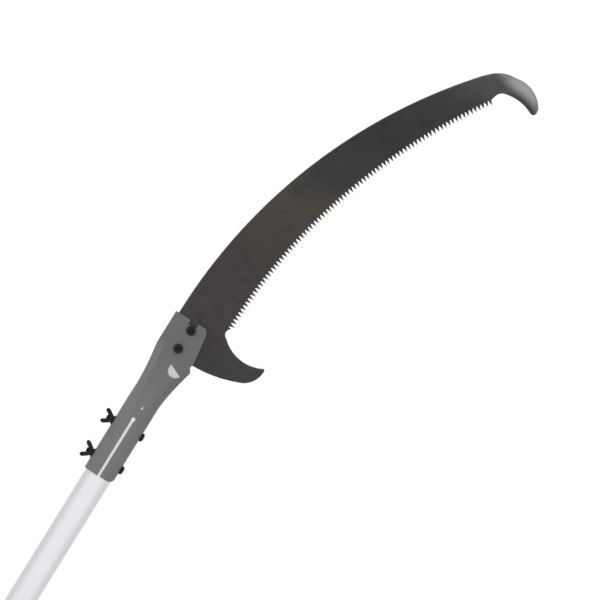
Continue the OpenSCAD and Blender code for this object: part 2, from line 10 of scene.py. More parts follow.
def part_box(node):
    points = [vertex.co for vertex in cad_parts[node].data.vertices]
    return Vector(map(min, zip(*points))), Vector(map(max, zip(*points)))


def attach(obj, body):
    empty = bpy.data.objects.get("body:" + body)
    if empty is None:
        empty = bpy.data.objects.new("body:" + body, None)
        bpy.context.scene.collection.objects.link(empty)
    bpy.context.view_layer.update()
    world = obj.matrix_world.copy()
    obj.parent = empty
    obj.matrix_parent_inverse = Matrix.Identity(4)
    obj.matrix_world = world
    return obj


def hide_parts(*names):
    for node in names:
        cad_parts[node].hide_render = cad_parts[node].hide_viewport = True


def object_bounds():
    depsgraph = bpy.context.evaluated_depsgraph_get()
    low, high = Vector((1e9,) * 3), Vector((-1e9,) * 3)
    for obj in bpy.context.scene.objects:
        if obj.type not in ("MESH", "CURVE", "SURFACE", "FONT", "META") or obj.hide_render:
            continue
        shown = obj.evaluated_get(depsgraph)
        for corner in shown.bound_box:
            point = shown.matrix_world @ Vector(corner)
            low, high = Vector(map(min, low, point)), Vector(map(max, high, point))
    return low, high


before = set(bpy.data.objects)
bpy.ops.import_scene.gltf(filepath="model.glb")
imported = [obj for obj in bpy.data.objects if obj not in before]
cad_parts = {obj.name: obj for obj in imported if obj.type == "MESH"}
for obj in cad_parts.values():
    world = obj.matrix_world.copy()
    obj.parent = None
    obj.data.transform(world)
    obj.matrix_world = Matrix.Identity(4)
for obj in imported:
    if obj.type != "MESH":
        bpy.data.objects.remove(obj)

cadLow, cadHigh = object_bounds()
scene = bpy.context.scene
scene.view_settings.view_transform = "Standard"
mm = 0.001
tau = 2 * math.pi

socketLow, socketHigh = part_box("head_socket")
rimZ = socketLow.z                      # the socket's lower rim, where the head's heights start


class Wire:
    # a shader socket: + - * / between wires and numbers add Math nodes to its tree
    def __init__(self, tree, socket):
        self.tree, self.socket = tree, socket

    def add(self, kind, inputs=None, out=0, **settings):
        # one node: its settings first, then the value or the link of each named socket
        node = self.tree.nodes.new(kind)
        stops = settings.pop("stops", None)
        for key, value in settings.items():
            setattr(node, key, value)
        if stops:
            ramp = node.color_ramp
            while len(ramp.elements) < len(stops):
                ramp.elements.new(1.0)
            for element, (place, shade) in zip(ramp.elements, stops):
                element.position = place
                element.color = (*shade, 1) if isinstance(shade, tuple) else (shade, shade, shade, 1)
        for key, value in (inputs or {}).items():
            if isinstance(value, Wire):
                self.tree.links.new(value.socket, node.inputs[key])
            else:
                node.inputs[key].default_value = value
        return Wire(self.tree, node.outputs[out])

    def math(self, operation, *others):
        return self.add("ShaderNodeMath", dict(enumerate((self, *others))), operation=operation)

    def __add__(self, other):
        return self.math("ADD", other)

    def __sub__(self, other):
        return self.math("SUBTRACT", other)

    def __mul__(self, other):
        return self.math("MULTIPLY", other)

    def __truediv__(self, other):
        return self.math("DIVIDE", other)

    def __rsub__(self, other):
        return self.add("ShaderNodeMath", {0: other, 1: self}, operation="SUBTRACT")

    __radd__ = __add__
    __rmul__ = __mul__

    def step(self, low, high):
        # 0 below low, 1 above high, smooth between
        return self.add("ShaderNodeMapRange", {"Value": self, "From Min": low, "From Max": high},
                        interpolation_type="SMOOTHSTEP", clamp=True)

    def mix(self, first, second):
        # a colour from first to second as this wire goes from 0 to 1
        return self.add("ShaderNodeMix", {0: self, 6: first, 7: second}, out=2,
                        data_type="RGBA", clamp_factor=True)

    def noise(self, scale, detail=3.0, stretch=(1, 1, 1)):
        # noise over a vector wire, finer along an axis where stretch is larger
        moved = self.add("ShaderNodeVectorMath", {0: self, 1: stretch}, operation="MULTIPLY")
        inputs = {"Vector": moved, "Scale": scale, "Detail": detail, "Roughness": 0.55}
        return self.add("ShaderNodeTexNoise", inputs, noise_dimensions="3D")

    def axes(self):
        split = self.add("ShaderNodeSeparateXYZ", {0: self})
        return [Wire(self.tree, socket) for socket in split.socket.node.outputs]

    def ahead(self, x, y, z):
        return self.add("ShaderNodeCombineXYZ", {0: x, 1: y, 2: z})


def linked(name, data):
    # an object for its data, put in the scene
    thing = bpy.data.objects.new(name, data)
    scene.collection.objects.link(thing)
    return thing


lens = dict(focal=200.0, sensor=36.0, frameWidth=0.600, aimX=0.0793, aimAboveRim=0.2548, poleSlant=58.257)


def makeCamera(v):
    # the frame is frameWidth wide at the blade's plane; the camera looks along +Y and is rolled
    # so that the pole rises to the right, poleSlant degrees from the horizontal
    data = bpy.data.cameras.new("camera")
    data.lens = v["focal"]
    data.sensor_width = v["sensor"]
    data.clip_end = 60
    cam = linked("camera", data)
    away = v["frameWidth"] / 2 / (v["sensor"] / 2 / v["focal"])
    cam.location = (v["aimX"], -away, rimZ + v["aimAboveRim"])
    cam.rotation_euler = (math.radians(90), math.radians(v["poleSlant"] - 90), 0)
    scene.camera = cam


makeCamera(lens)


def areaLight(name, place, aim, size, power, glossy=False):
    # a square panel of size metres a side; only a glossy one is mirrored in the pieces
    data = bpy.data.lights.new(name, "AREA")
    data.shape = "SQUARE"
    data.size = size
    data.energy = power
    lamp = linked(name, data)
    lamp.location = place
    lamp.visible_glossy = glossy
    lamp.rotation_euler = (Vector(place) - Vector(aim)).to_track_quat("Z", "Y").to_euler()


headCentre = (0.06, 0, rimZ + 0.25)
areaLight("keyPanel", (-1.5, -2.4, rimZ + 1.5), headCentre, 1.8, 6.5)
areaLight("fillPanel", (1.9, -2.2, rimZ - 0.1), headCentre, 1.5, 6)
areaLight("rimPanel", (-0.6, 2.0, rimZ + 0.9), headCentre, 1.4, 12, True)
areaLight("polePanel", (-1.4, -1.8, 1.1), (0, 0, 0.5), 1.3, 6)

sky = dict(side=0.72, front=1.02, above=0.06)


def makeWorld(v):
    # white to the eye; as a light it is brightest behind the camera and a little brighter above
    world = bpy.data.worlds.new("studio")
    scene.world = world
    world.use_nodes = True
    tree = world.node_tree
    tree.nodes.clear()
    coords = tree.nodes.new("ShaderNodeTexCoord")
    _, y, z = Wire(tree, coords.outputs["Generated"]).axes()
    level = v["side"] + (v["front"] - v["side"]) * (0.0 - y).step(0.20, 0.60) + v["above"] * z
    tint = level.add("ShaderNodeCombineColor", {0: level, 1: level * 1.004, 2: level * 1.012})
    lit = tint.add("ShaderNodeBackground", {"Color": tint})
    seen = tint.add("ShaderNodeBackground", {"Color": (1, 1, 1, 1)})
    path = tint.add("ShaderNodeLightPath")
    mix = tint.add("ShaderNodeMixShader", {0: path, 1: lit, 2: seen})
    out = tree.nodes.new("ShaderNodeOutputWorld")
    tree.links.new(mix.socket, out.inputs["Surface"])


makeWorld(sky)
print("camera and light are set")


def gray(value):
    return (value, value, value, 1)


def finish(name, paint, **constants):
    # a Principled material; paint returns the sockets that change over the surface
    material = bpy.data.materials.new(name)
    material.use_nodes = True
    tree = material.node_tree
    shader = next(n for n in tree.nodes if n.type == "BSDF_PRINCIPLED")
    for key, value in constants.items():
        shader.inputs[key].default_value = value
    coords = tree.nodes.new("ShaderNodeTexCoord")
    wires = paint(Wire(tree, coords.outputs["Object"]))
    for key, wire in wires.items():
        tree.links.new(wire.socket, shader.inputs[key])
    return material


def look(base, roughness, height, strength, distance, **more):
    # what a paint returns: its colour, its roughness and a bump from a height
    normal = height.add("ShaderNodeBump", {"Height": height, "Strength": strength, "Distance": distance})
    return {"Base Color": base, "Roughness": roughness, "Normal": normal, **more}


# the blade in mm and degrees, heights above the socket's rim; an arc is a centre and a radius
blade = dict(
    thickness=1.6, width=52.0, spineRadius=553.0, toothRadius=598.0, spineAt=181.0, heelAt=188.6,
    toothedFrom=5.97, toothedLength=352.0, pitch=4.233, toothRoot=2.0, toothTip=-3.6, tangAt=142.2,
    spineBevel=0.45, hookBevel=1.6, tipInnerBevel=4.0, tipOuterBevel=7.0, edgeLand=0.14, toothSet=0.32,
    tipInnerArc=((32.4, -11), 44.9), tipOuterArc=((12.4, 14.2), 31.6), lightFrom=144.0, lightFull=119.0)
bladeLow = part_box("saw_blade")[0]
spineCentre = (bladeLow.x + blade["spineRadius"] * mm, rimZ + blade["spineAt"] * mm)


def bladePaint(place):
    # grind lines run along the blade: noise over distance from the spine's centre and angle about it
    x, y, z = place.axes()
    dx, dz = x - spineCentre[0], z - spineCentre[1]
    away = (dx * dx + dz * dz).math("SQRT")
    turn = dz.math("ARCTAN2", dx)
    lines = place.ahead(away * 900, turn * 6, y * 40).noise(1.0, 4.0)
    cloud = place.noise(14.0, 3.0)
    fine = place.noise(70.0, 4.0)
    rise = (z - rimZ) / 0.6
    # colours by height along the blade are a painted reflection sheen: dark, olive and lighter bands over the
    # steel
    sheenByHeight = rise.add("ShaderNodeValToRGB", {0: rise + (cloud - 0.5) * 0.16}, stops=[
        (0.22, (0.046, 0.044, 0.048)), (0.33, (0.064, 0.052, 0.053)), (0.46, (0.059, 0.051, 0.047)),
        (0.57, (0.070, 0.062, 0.050)), (0.64, (0.046, 0.044, 0.043)), (0.74, (0.036, 0.036, 0.036)),
        (0.84, (0.046, 0.046, 0.046)), (0.91, (0.094, 0.094, 0.093))])
    hook = (x - bladeLow.x).step(0.050, 0.085) * (1 - (z - rimZ).step(0.19, 0.21))
    base = hook.mix(sheenByHeight, (0.054, 0.054, 0.052, 1))
    base = (lines.step(0.40, 0.80) * 0.22).mix(base, gray(0.085))
    base = (fine.step(0.50, 0.75) * 0.30).mix(base, gray(0.026))
    # the point attribute: above zero it lightens the edges and the tip's face as painted highlights and the
    # tooth tips as wear and sheen, below zero it darkens the tip's inner bevel as painted shade
    edge = place.add("ShaderNodeAttribute", attribute_name="paintedLightAndWear", out=2)
    light = edge.math("MAXIMUM", 0.0)
    dark = edge.math("MINIMUM", 0.0)
    base = (dark * -1.0).mix(base, (0.016, 0.016, 0.014, 1))
    base = light.mix(base, (0.33, 0.33, 0.32, 1))
    return look(base, 0.44 + 0.14 * fine - 0.08 * light, lines, 0.06, 0.0004)


# the pressed mark on the socket's front, in mm from its axis and rim
dent = dict(at=(9.8, 127.0), tilt=-23.9, flat=3.1, halfLength=8.0, belly=8.8, depth=0.9)


def socketPaint(place):
    x, y, z = place.axes()
    peel = place.noise(1100, 2.0)
    cloud = place.noise(22, 3.0)
    specks = place.noise(420, 2.0).step(0.70, 0.78)
    rise = z - rimZ
    base = rise.step(0.02, 0.15).mix((0.150, 0.148, 0.148, 1), (0.104, 0.104, 0.100, 1))
    warm = (1 - (x - 0.004).math("ABSOLUTE").step(0.002, 0.014)) * (1 - rise.step(0.08, 0.13))
    base = (warm * 0.8).mix(base, (0.148, 0.137, 0.141, 1))
    # painted light on the band beside the back edge, which is folded towards the light, along a crease that
    # runs out with height
    foldLight = (0.0 - (x + 0.1053 * rise - 0.0034)).step(-0.0004, 0.0018) * rise.step(0.048, 0.072)
    foldLight = foldLight * (1 - rise.step(0.138, 0.152))
    base = (foldLight * 0.9).mix(base, (0.156, 0.156, 0.149, 1))
    base = (cloud.step(0.3, 0.7) * 0.25).mix(base, gray(0.132))
    base = (specks * 0.25).mix(base, gray(0.06))
    rim = place.noise(160, 5.0).step(0.50, 0.62) * (1 - rise.step(0.0002, 0.0012))
    # painted highlight in the pressed D, coloured as bare metal: a flat edge upwards and a round belly below
    # it
    turn = math.radians(dent["tilt"])
    dx, dz = x - dent["at"][0] * mm, rise - dent["at"][1] * mm
    along = (dx * math.cos(turn) + dz * math.sin(turn)) / (dent["halfLength"] * mm)
    under = (dent["flat"] * mm - (dz * math.cos(turn) - dx * math.sin(turn))) / mm
    oval = along * along + (under / dent["belly"]) * (under / dent["belly"])
    belly = (1 - oval.math("SQRT")) * dent["belly"]
    dentHighlight = (under * 1.6).math("MINIMUM", belly).step(-0.1, 1.5) * (0.0 - y).step(0.0, 0.0005)
    streak = place.noise(1.0, 4.0, (90, 90, 260))
    # the rim's real wear together with the D's painted highlight
    wearAndSheen = dentHighlight.math("MAXIMUM", rim * 0.5)
    base = wearAndSheen.mix(base, streak.mix(gray(0.46), gray(0.60)))
    return look(base, 0.48 + 0.12 * cloud - 0.12 * wearAndSheen, peel, 0.10, 0.0003, Metallic=wearAndSheen * 0.35)


def oxidePaint(place):
    cloud = place.noise(180, 4.0)
    fine = place.noise(1600, 2.0)
    base = cloud.step(0.4, 0.75).mix((0.006, 0.006, 0.006, 1), (0.018, 0.016, 0.014, 1))
    return look(base, 0.34 + 0.22 * cloud, fine, 0.08, 0.0002)


def drawnPaint(place):
    # drawn tube: fine lines along the pole, faint handling marks
    lines = place.noise(1.0, 3.0, (2200, 2200, 9))
    cloud = place.noise(16, 3.0, (1, 1, 0.3))
    marks = place.noise(1.0, 5.0, (700, 700, 160)).step(0.66, 0.72)
    base = lines.mix((0.80, 0.80, 0.83, 1), (0.93, 0.93, 0.95, 1))
    base = (marks * 0.12).mix(base, gray(0.62))
    return look(base, 0.30 + 0.10 * cloud + 0.10 * lines, lines, 0.05, 0.0002)


def zincPaint(place):
    cloud = place.noise(240, 4.0)
    base = cloud.mix((0.42, 0.43, 0.46, 1), (0.66, 0.66, 0.64, 1))
    return look(base, 0.24 + 0.2 * cloud, place.noise(1500, 2.0), 0.05, 0.0002)


def nylonPaint(place):
    # spark-eroded mould texture with glass fibre flecks
    grain = place.noise(1500, 3.0)
    flecks = place.noise(700, 2.0, (1, 1, 0.35)).step(0.68, 0.76)
    cloud = place.noise(35, 3.0)
    base = cloud.mix((0.011, 0.012, 0.013, 1), (0.021, 0.022, 0.023, 1))
    base = (flecks * 0.3).mix(base, gray(0.06))
    return look(base, 0.44 + 0.2 * grain, grain, 0.22, 0.0004)


def leverPaint(place):
    # a finer texture than the collars', polished a little by the hand
    grain = place.noise(2100, 2.0)
    cloud = place.noise(50, 4.0)
    rubbed = place.noise(120, 5.0).step(0.58, 0.75)
    base = cloud.mix((0.014, 0.015, 0.016, 1), (0.028, 0.029, 0.031, 1))
    base = (rubbed * 0.3).mix(base, gray(0.05))
    return look(base, 0.36 + 0.16 * grain - 0.08 * rubbed, grain, 0.16, 0.0003)


def rivetPaint(place):
    cloud = place.noise(300, 4.0)
    marks = place.noise(900, 3.0)
    base = cloud.mix((0.60, 0.60, 0.62, 1), (0.80, 0.80, 0.81, 1))
    return look(base, 0.28 + 0.18 * marks, marks, 0.08, 0.0002)


def rubberPaint(place):
    grain = place.noise(1300, 3.0)
    cloud = place.noise(28, 4.0)
    dust = place.noise(90, 5.0).step(0.55, 0.8)
    base = cloud.mix((0.010, 0.010, 0.011, 1), (0.020, 0.020, 0.021, 1))
    base = (dust * 0.2).mix(base, gray(0.07))
    return look(base, 0.68 + 0.2 * grain, grain, 0.3, 0.0005)


def bushPaint(place):
    grain = place.noise(900, 2.0)
    return look(grain.mix(gray(0.026), gray(0.05)), 0.5 + 0.2 * grain, grain, 0.12, 0.0003)


finishes = dict(
    bladeSteel=finish("bladeSteel", bladePaint, Metallic=0.85),
    socketPaint=finish("socketPaint", socketPaint),
    blackOxide=finish("blackOxide", oxidePaint, **{"Specular IOR Level": 0.22}),
    drawnAluminium=finish("drawnAluminium", drawnPaint, Metallic=1.0),
    zincPlate=finish("zincPlate", zincPaint, Metallic=1.0),
    glassNylon=finish("glassNylon", nylonPaint),
    leverNylon=finish("leverNylon", leverPaint),
    rivetAluminium=finish("rivetAluminium", rivetPaint, Metallic=1.0),
    softRubber=finish("softRubber", rubberPaint),
    bushPlastic=finish("bushPlastic", bushPaint),
)
print("materials are made:", len(finishes))


def meshOf(name, points, faces):
    # a mesh from points (n, 3) in metres and a list of face loops
    mesh = bpy.data.meshes.new(name)
    mesh.from_pydata(np.asarray(points, float).tolist(), [], [list(map(int, f)) for f in faces])
    return mesh


def shade(mesh, angle):
    # smooth faces, with a crease where they meet at more than angle degrees
    mesh.polygons.foreach_set("use_smooth", np.ones(len(mesh.polygons), bool))
    mesh.set_sharp_from_angle(angle=math.radians(angle))


def addPiece(name, points, faces, material, body, node, crease):
    # a finished piece from points in metres and face loops
    mesh = meshOf(name, points, faces)
    mesh.validate()
    return settle(name, mesh, material, body, node, crease)


def settle(name, mesh, material, body, node, crease):
    # a mesh becomes a finished piece that stands for a CAD node
    mesh.materials.clear()
    mesh.materials.append(finishes[material])
    shade(mesh, crease)
    piece = linked(name, mesh)
    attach(piece, body)
    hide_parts(node)
    return piece


def rows(count, columns, first=0):
    # the point numbers of count closed rows, one after the other
    return np.arange(count * columns).reshape(count, columns) + first


def band(lower, upper, flip=False):
    # quads between each closed row of point numbers in lower and the same row in upper
    quads = np.stack([lower, np.roll(lower, -1, -1), np.roll(upper, -1, -1), upper], -1).reshape(-1, 4)
    return (quads[:, ::-1] if flip else quads).tolist()


def gridFaces(count, columns):
    # quads over a grid of closed rows
    every = rows(count, columns)
    return band(every[:-1], every[1:])


def caps(count, columns):
    # the end faces of a grid of closed rows
    every = rows(count, columns)
    return [every[0, ::-1].tolist(), every[-1].tolist()]


def polar(radius, angle, height):
    # points at a radius and an angle about Z
    across = np.broadcast_arrays(radius * np.cos(angle), radius * np.sin(angle), height)
    return np.stack(across, -1).reshape(-1, 3)


def turned(profile, segments=96, radiusOf=None):
    # a lathe: profile rows (radius, height) carried round Z; radiusOf(angle, radius, height) may reshape it
    profile = np.asarray(profile, float)
    angle = np.arange(segments) * tau / segments
    r = profile[:, 0][:, None] * np.ones(segments)
    h = profile[:, 1][:, None] * np.ones(segments)
    if radiusOf is not None:
        r = radiusOf(angle[None, :], r, h)
    faces = gridFaces(len(profile), segments)
    if (profile[0] != profile[-1]).any():
        faces += caps(len(profile), segments)
    return polar(r, angle, h), faces


def posed(points, origin, xAxis, yAxis, zAxis):
    # local points to the object's frame by three axes and an origin
    return np.asarray(points) @ np.array([xAxis, yAxis, zAxis], float) + np.array(origin, float)


def joined(*parts):
    # several (points, faces) in one
    points, faces, start = [], [], 0
    for p, f in parts:
        points.append(np.asarray(p, float))
        faces += [[int(i) + start for i in face] for face in f]
        start += len(p)
    return np.concatenate(points), faces


def arc(centre, radius, fromDegrees, toDegrees, count):
    # points round a circle in the (x, height) plane
    a = np.radians(np.linspace(fromDegrees, toDegrees, count))
    return np.stack([centre[0] + radius * np.cos(a), centre[1] + radius * np.sin(a)], -1)


def outward(mesh):
    # doubles merged, then every face turned outwards
    work = bmesh.new()
    work.from_mesh(mesh)
    bmesh.ops.remove_doubles(work, verts=work.verts, dist=1e-7)
    bmesh.ops.recalc_face_normals(work, faces=work.faces)
    work.to_mesh(mesh)
    work.free()


def softEdges(piece, width, steps, angle):
    # a bevel of width mm on the edges that turn more than angle degrees
    soft = piece.modifiers.new("edge", "BEVEL")
    soft.width = width * mm
    soft.segments = steps
    soft.limit_method = "ANGLE"
    soft.angle_limit = math.radians(angle)
    soft.harden_normals = True


def cutAway(piece, cutter):
    # the cutter's room is taken out of the piece
    cut = piece.modifiers.new("cut", "BOOLEAN")
    cut.operation = "DIFFERENCE"
    cut.solver = "EXACT"
    cut.object = cutter


def boxOf(node):
    # a node's lowest corner, highest corner and centre in mm
    low, high = (np.array(corner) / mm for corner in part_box(node))
    return low, high, (low + high) / 2


def baked(piece):
    # the piece's mesh with its modifiers applied
    graph = bpy.context.evaluated_depsgraph_get()
    mesh = bpy.data.meshes.new_from_object(piece.evaluated_get(graph))
    piece.modifiers.clear()
    return mesh


def refined(node, name, material, body, edge, steps=2):
    # a welded copy of a CAD node, its flat faces made whole and its edges rounded by edge mm
    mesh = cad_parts[node].data.copy()
    mesh.name = name
    work = bmesh.new()
    work.from_mesh(mesh)
    bmesh.ops.remove_doubles(work, verts=work.verts, dist=2e-6)
    bmesh.ops.dissolve_limit(work, angle_limit=math.radians(1.0), verts=work.verts, edges=work.edges)
    work.to_mesh(mesh)
    work.free()
    piece = settle(name, mesh, material, body, node, 35)
    softEdges(piece, edge, steps, 30)


def bladeOutline(v):
    # the blade's edge as one closed loop in mm, x across and height above the socket's rim, made of arcs,
    # with the width of the ground bevel along it; the tip's arcs are given in the tip's own frame
    spineX = bladeLow.x / mm
    heelX = spineX + v["width"]
    toothCentre = np.array([heelX + v["toothRadius"], v["heelAt"]])
    first = v["toothedFrom"] / v["toothRadius"]
    teeth = int(v["toothedLength"] / v["pitch"])
    stepAngle = v["pitch"] / v["toothRadius"]
    # the hook's frame starts one pitch before the last tooth ends
    last = first + (teeth - 1) * stepAngle
    tipAt = toothCentre + v["toothRadius"] * np.array([-math.cos(last), math.sin(last)])
    spineEnd = math.degrees(math.asin((tipAt[1] - v["spineAt"] + 21) / v["spineRadius"]))
    spin = np.array([[math.cos(last), -math.sin(last)], [math.sin(last), math.cos(last)]])

    def tip(centre, radius, a, b, count):
        return arc(centre, radius, a, b, count) @ spin + tipAt

    def heel(centre, radius, a, b, count):
        return arc((heelX + centre[0], v["heelAt"] + centre[1]), radius, a, b, count)

    rootRadius = v["toothRadius"] + v["toothRoot"]
    rootAngles = np.linspace(last + stepAngle, first, 4 * teeth)
    root = toothCentre + rootRadius * np.stack([-np.cos(rootAngles), np.sin(rootAngles)], -1)
    spine = arc((spineX + v["spineRadius"], v["spineAt"]), v["spineRadius"], 180, 180 - spineEnd, 260)
    tang = np.array([[spineX + 10, v["tangAt"]], [spineX + 2.6, v["tangAt"] + 7], [spineX, v["tangAt"] + 15]])
    thin, hookWidth = v["spineBevel"], v["hookBevel"]
    outerWidth, innerWidth = v["tipOuterBevel"], v["tipInnerBevel"]
    # each run: its points, then the bevel's width and its painted edge highlight at the run's start and end
    runs = [
        (tang, 0.2, 0.2, 0.1, 0.1), (spine, thin, thin, 0.35, 0.5),
        (tip([10.4, 5.4], 37.2, 165, 136, 24), thin, outerWidth * 0.8, 0.1, 0.0),
        (tip(*v["tipOuterArc"], 135, 63, 60), outerWidth * 0.85, outerWidth * 0.6, 0.0, 0.0),
        (tip([26, 37.2], 3.8, 58, -58, 22), outerWidth * 0.5, innerWidth * 0.5, 0.0, 0.0),
        (tip(*v["tipInnerArc"], 104, 138, 48), innerWidth * 0.8, innerWidth, 0.0, 0.0),
        (tip([6.3, 11.9], 10.3, 138, 206, 26), innerWidth * 0.9, 0.5, 0.0, 0.0),
        (root, 0.35, 0.35, 0.0, 0.0),
        (heel([3.9, 0], 5.6, 118, 242, 30), 0.5, hookWidth * 0.6, 0.0, 0.0),
        (heel([30, 24.2], 40.8, 226, 299, 70), hookWidth * 0.7, hookWidth, 0.0, 0.05),
        (heel([49.6, -13.8], 2, 62, -8, 12), hookWidth * 0.5, thin, 0.05, 0.1),
        (heel([28.1, -14.3], 23.3, -8, -70, 40), thin, thin, 0.12, 0.12),
        (heel([-15.3, 87], 133.4, -70, -90, 40), thin, 0.2, 0.2, 0.1)]
    loop = np.concatenate([run[0] for run in runs])
    bevel = np.concatenate([np.linspace(run[1], run[2], len(run[0])) for run in runs])
    shine = np.concatenate([np.linspace(run[3], run[4], len(run[0])) for run in runs])
    for _ in range(12):
        bevel = (np.roll(bevel, 1) + bevel + np.roll(bevel, -1)) / 3
        shine = (np.roll(shine, 1) + shine + np.roll(shine, -1)) / 3
    return loop, bevel, shine, toothCentre, first, stepAngle, teeth, spin, tipAt


def bladeTeeth(v, toothCentre, first, stepAngle, teeth):
    # every tooth is a triangle on the side it is set to and a smaller one, ground back, on the other side
    i = np.arange(teeth)
    side = np.where(i % 2 == 0, 1.0, -1.0)
    half = v["thickness"] / 2
    body = v["toothRoot"] + 0.5                                 # the teeth reach a little into the blade
    along = np.array([0.10, 0.50, 1.00, 0.16, 0.51, 0.94])      # share of the pitch
    depth = np.array([body, v["toothTip"], body, body, v["toothTip"] + 0.7, body])
    across = np.array([half, half + v["toothSet"], half, -half, -half * 0.2, -half])
    a = first + (i[:, None] + along) * stepAngle
    r = v["toothRadius"] + depth[None, :]
    x = toothCentre[0] - r * np.cos(a)
    h = toothCentre[1] + r * np.sin(a)
    y = side[:, None] * across[None, :]
    points = np.stack([x, y, h], -1).reshape(-1, 3)
    shape = np.array([[0, 1, 2], [3, 5, 4], [0, 3, 4], [0, 4, 1], [1, 4, 5], [1, 5, 2], [0, 2, 5], [0, 5, 3]])
    faces = shape[None] + 6 * i[:, None, None]
    faces[side < 0] = faces[side < 0][:, :, ::-1]
    return points, faces.reshape(-1, 3).tolist()


def nearest(points, loop, *values):
    # distance from each point to a closed loop of points, and the loop's values at the nearest place
    start, end = loop, np.roll(loop, -1, 0)
    d = end - start
    near, index = np.full(len(points), 1e9), np.zeros(len(points), int)
    for block in np.array_split(np.arange(len(loop)), 24):
        s, e = start[block], d[block]
        t = ((points[:, None] - s) * e).sum(-1) / (e * e).sum(-1)
        gap = np.linalg.norm(points[:, None] - (s + np.clip(t, 0, 1)[..., None] * e), axis=-1)
        best = gap.argmin(1)
        found = gap[np.arange(len(points)), best]
        closer = found < near
        near = np.where(closer, found, near)
        index = np.where(closer, block[best], index)
    return near, [value[index] for value in values]


def sheet(loop, holes, inner):
    # triangles that fill a loop, less round holes (x, height, radius), through the loop's own points
    # and inner ones
    rings = [arc(hole[:2], hole[2], 0, 350, 36) for hole in holes]
    fixed = np.concatenate([loop] + rings)
    edges, start = [], 0
    for ring in [loop] + rings:
        k = np.arange(len(ring))
        edges.append(np.stack([k, (k + 1) % len(ring)], -1) + start)
        start += len(ring)
    points = np.concatenate([fixed, inner])
    found = delaunay_2d_cdt([Vector(p) for p in points.tolist()], np.concatenate(edges).tolist(),
                            [list(range(len(loop)))], 1, 1e-5)
    flat = np.array([tuple(p) for p in found[0]])
    triangles = np.array([tuple(f) for f in found[2]])
    middle = flat[triangles].mean(1)
    for hole in holes:
        keep = np.linalg.norm(middle - np.array(hole[:2]), axis=1) > hole[2] * 0.98
        triangles, middle = triangles[keep], middle[keep]
    return flat, triangles


def inside(points, loop):
    # which points lie in a closed loop, by counting crossings
    x, z = points[:, 0][:, None], points[:, 1][:, None]
    a, b = loop, np.roll(loop, -1, 0)
    crosses = (a[:, 1] > z) != (b[:, 1] > z)
    rise = np.where(b[:, 1] == a[:, 1], 1e-12, b[:, 1] - a[:, 1])
    at = (b[:, 0] - a[:, 0]) * (z - a[:, 1]) / rise + a[:, 0]
    return (crosses & (x < at)).sum(1) % 2 == 1


def borders(triangles):
    # directed edges that belong to one triangle only
    ends = np.concatenate([triangles[:, [0, 1]], triangles[:, [1, 2]], triangles[:, [2, 0]]])
    big = triangles.max() + 1
    key, back = ends[:, 0] * big + ends[:, 1], ends[:, 1] * big + ends[:, 0]
    return ends[~np.isin(key, back)]


def tipShade(v, place):
    # painted light on the tip hook's hollow-ground face where it turns to the lamps, partly the brighter bare
    # ground steel, between painted shade over the dark bevel along its inner edge and a duller outer edge,
    # fading in from the blade; place is in the tip's own frame
    def soft(value, low, high):
        s = np.clip((value - low) / (high - low), 0, 1)
        return s * s * (3 - 2 * s)

    (innerCentre, innerRadius), (outerCentre, outerRadius) = v["tipInnerArc"], v["tipOuterArc"]
    fromInner = np.linalg.norm(place - np.array(innerCentre), axis=1) - innerRadius
    fromOuter = outerRadius - np.linalg.norm(place - np.array(outerCentre), axis=1)
    swing = np.degrees(np.arctan2(place[:, 1] - innerCentre[1], place[:, 0] - innerCentre[0]))
    swing = swing - 0.9 * (fromInner - 4)
    near = (place[:, 1] > 2) & (np.abs(place[:, 0]) < 60)
    light = soft(swing, v["lightFrom"], v["lightFull"]) * soft(fromInner, 2.2, 12.5)
    light = light * (0.82 + 0.18 * soft(fromOuter, 0.3, 4.0))
    dark = soft(swing, v["lightFrom"], v["lightFull"]) * (1 - soft(fromInner, 2.4, 4.4))
    end = 1 - soft(swing, 103, 96) * 0.3
    return np.where(near, light * end - 0.45 * dark, 0.0)


def lattice(low, high, step):
    # points of a square grid between two corners
    across, up = np.meshgrid(np.arange(low[0], high[0], step), np.arange(low[1], high[1], step))
    return np.stack([across, up], -1).reshape(-1, 2)


